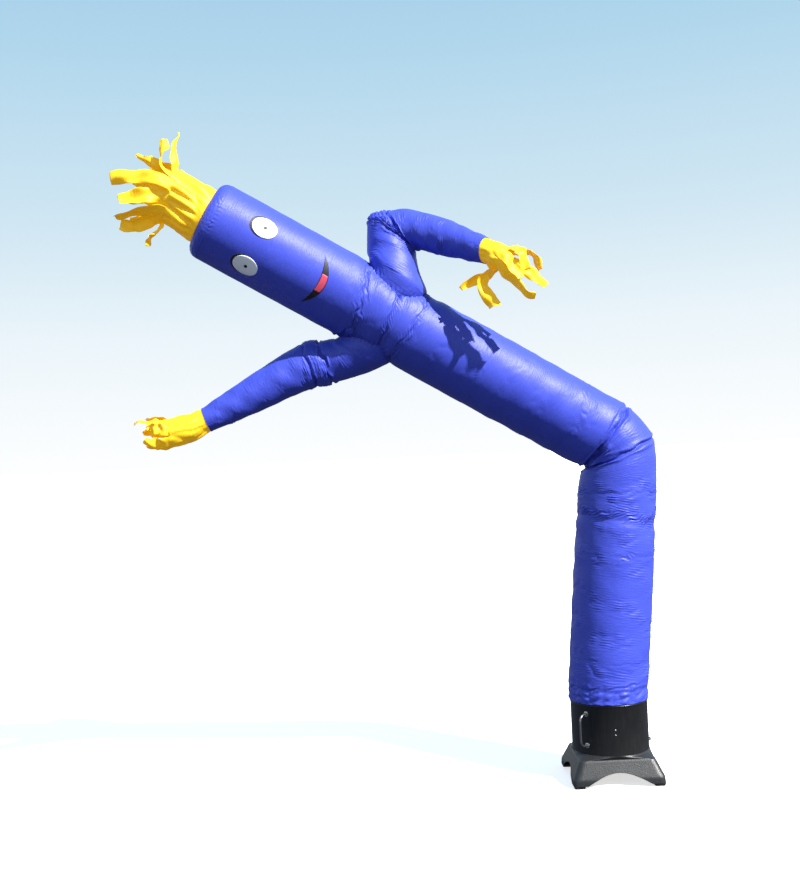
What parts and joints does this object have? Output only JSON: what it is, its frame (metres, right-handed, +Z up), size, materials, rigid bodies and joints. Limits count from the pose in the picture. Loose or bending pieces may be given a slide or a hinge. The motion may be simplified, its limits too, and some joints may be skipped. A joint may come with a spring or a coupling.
{
  "type": "inflatable air dancer with blower",
  "caption": "Tall inflatable cloth tube figure with arms, a face and streamer hair and hands, bent over at the knee on a round duct blower with a square arched base.",
  "frame": {"origin": "on the floor, under the middle of the whole part's box", "axes": "+Z up, -Y towards the side the face looks to, +X towards the blower; the figure bends over towards -X"},
  "size_m": [3.0002, 0.8988, 3.7475],
  "materials": {
    "blue_cloth": "thin coated nylon with a satin sheen, royal blue",
    "yellow_cloth": "thin coated nylon with a satin sheen, bright yellow, a little translucent",
    "white_cloth": "thin white nylon patch",
    "black_cloth": "thin black nylon patch",
    "coral_cloth": "thin coral red nylon patch",
    "collar_plastic": "moulded black plastic, half gloss",
    "base_plastic": "moulded dark grey plastic with a fine grain",
    "foot_rubber": "black rubber",
    "bright_steel": "bright steel",
    "motor_metal": "dark painted metal"
  },
  "bodies": {
    "root": {"body_tube": "blue_cloth", "right_arm": "blue_cloth", "left_arm": "blue_cloth", "crown": "blue_cloth", "hair_sleeve": "yellow_cloth", "hair_strips": "yellow_cloth", "right_hand_sleeve": "yellow_cloth", "right_hand_strips": "yellow_cloth", "left_hand_sleeve": "yellow_cloth", "left_hand_strips": "yellow_cloth", "right_eye_rim": "black_cloth", "left_eye_rim": "black_cloth", "right_eye_white": "white_cloth", "left_eye_white": "white_cloth", "right_pupil": "black_cloth", "left_pupil": "black_cloth", "smile": "black_cloth", "lip": "coral_cloth", "blower_collar": "collar_plastic", "blower_base": "base_plastic", "foot_front_left": "foot_rubber", "foot_front_right": "foot_rubber", "foot_back_left": "foot_rubber", "foot_back_right": "foot_rubber", "handle": "bright_steel", "upper_handle_mount": "bright_steel", "lower_handle_mount": "bright_steel", "upper_side_screw": "bright_steel", "lower_side_screw": "bright_steel", "lead_gland": "foot_rubber", "motor": "motor_metal"}
  },
  "joints": []
}
